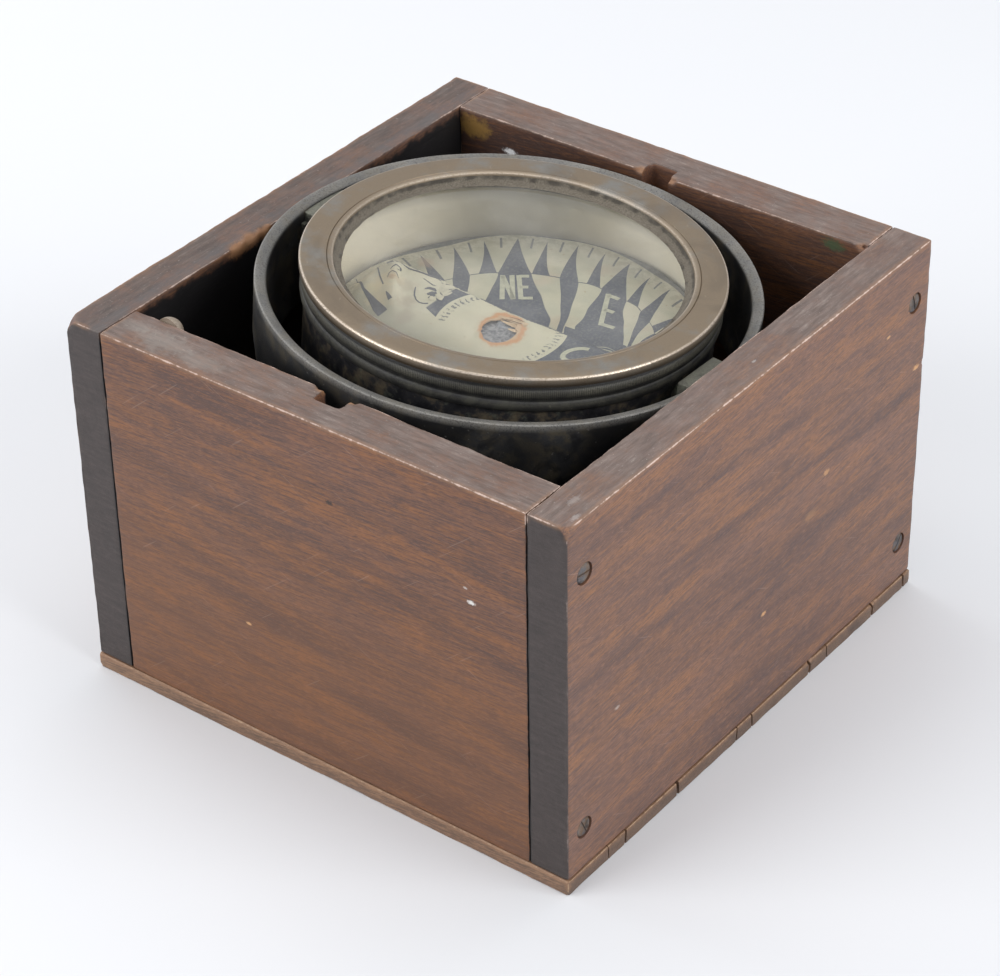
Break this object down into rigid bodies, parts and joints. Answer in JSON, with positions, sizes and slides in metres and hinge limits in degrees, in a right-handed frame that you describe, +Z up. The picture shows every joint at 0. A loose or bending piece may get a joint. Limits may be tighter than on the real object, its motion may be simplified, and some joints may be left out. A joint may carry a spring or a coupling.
{
  "type": "box compass",
  "caption": "Dry-card compass bowl hung in a gimbal ring inside an open wooden box with slotted ends.",
  "frame": {"origin": "centre of the base board's underside", "axes": "+Z up, +X towards the right board, +Y towards the back board, which has a trunnion slot"},
  "size_m": [0.1808, 0.1858, 0.1384],
  "materials": {
    "wall_wood": "worn varnished mahogany, long grain",
    "end_wood": "worn varnished mahogany, long grain",
    "base_wood": "worn mahogany",
    "old_iron": "dark iron with rust",
    "aged_brass": "dull brass with green patina",
    "dark_brass": "blackened brass",
    "bowl_brass": "mottled blackened brass",
    "bezel_brass": "bronze-brown brass with polished edges",
    "putty": "dry dark putty",
    "glass": "old clear glass with haze",
    "lead": "dull grey cast metal",
    "hard_steel": "dark blued steel",
    "mica": "yellowish mica",
    "card_paper": "aged printed paper with rust stains",
    "jewel": "polished dark red stone"
  },
  "bodies": {
    "box": {"left_board": "wall_wood", "right_board": "wall_wood", "front_board": "end_wood", "back_board": "end_wood", "base_board": "base_wood", "left_screws": "old_iron", "right_screws": "old_iron", "base_nails": "old_iron", "front_stud": "aged_brass"},
    "ring": {"gimbal_ring": "dark_brass", "front_trunnion": "aged_brass", "back_trunnion": "aged_brass", "left_pivot_block": "aged_brass", "right_pivot_block": "aged_brass", "block_rivets": "aged_brass"},
    "bowl": {"bowl_shell": "bowl_brass", "rim_band": "bowl_brass", "bezel_ring": "bezel_brass", "glazing_putty": "putty", "cover_glass": "glass", "left_bowl_pivot": "aged_brass", "right_bowl_pivot": "aged_brass", "ballast_weight": "lead", "pivot_post": "aged_brass", "pivot_point": "hard_steel", "post_nut": "aged_brass"},
    "card": {"card_disc": "mica", "card_paper": "card_paper", "card_cap": "aged_brass", "cap_jewel": "jewel", "magnet_needles": "hard_steel", "needle_rivets": "aged_brass"}
  },
  "joints": [
    {"name": "ring_roll", "type": "hinge", "parent": "box", "child": "ring", "pos_m": [0, 0, 0.1144], "axis": [0, 1, 0], "range_deg": [-34, 26]},
    {"name": "bowl_pitch", "type": "hinge", "parent": "ring", "child": "bowl", "pos_m": [0, 0.0006, 0.1144], "axis": [0.9976, 0, -0.0698], "range_deg": [-26.7, 33.3]},
    {"name": "card_spin", "type": "hinge", "parent": "bowl", "child": "card", "pos_m": [0.00056, 0.00032, 0.10946], "axis": [0, 0, 1], "continuous": true}
  ]
}
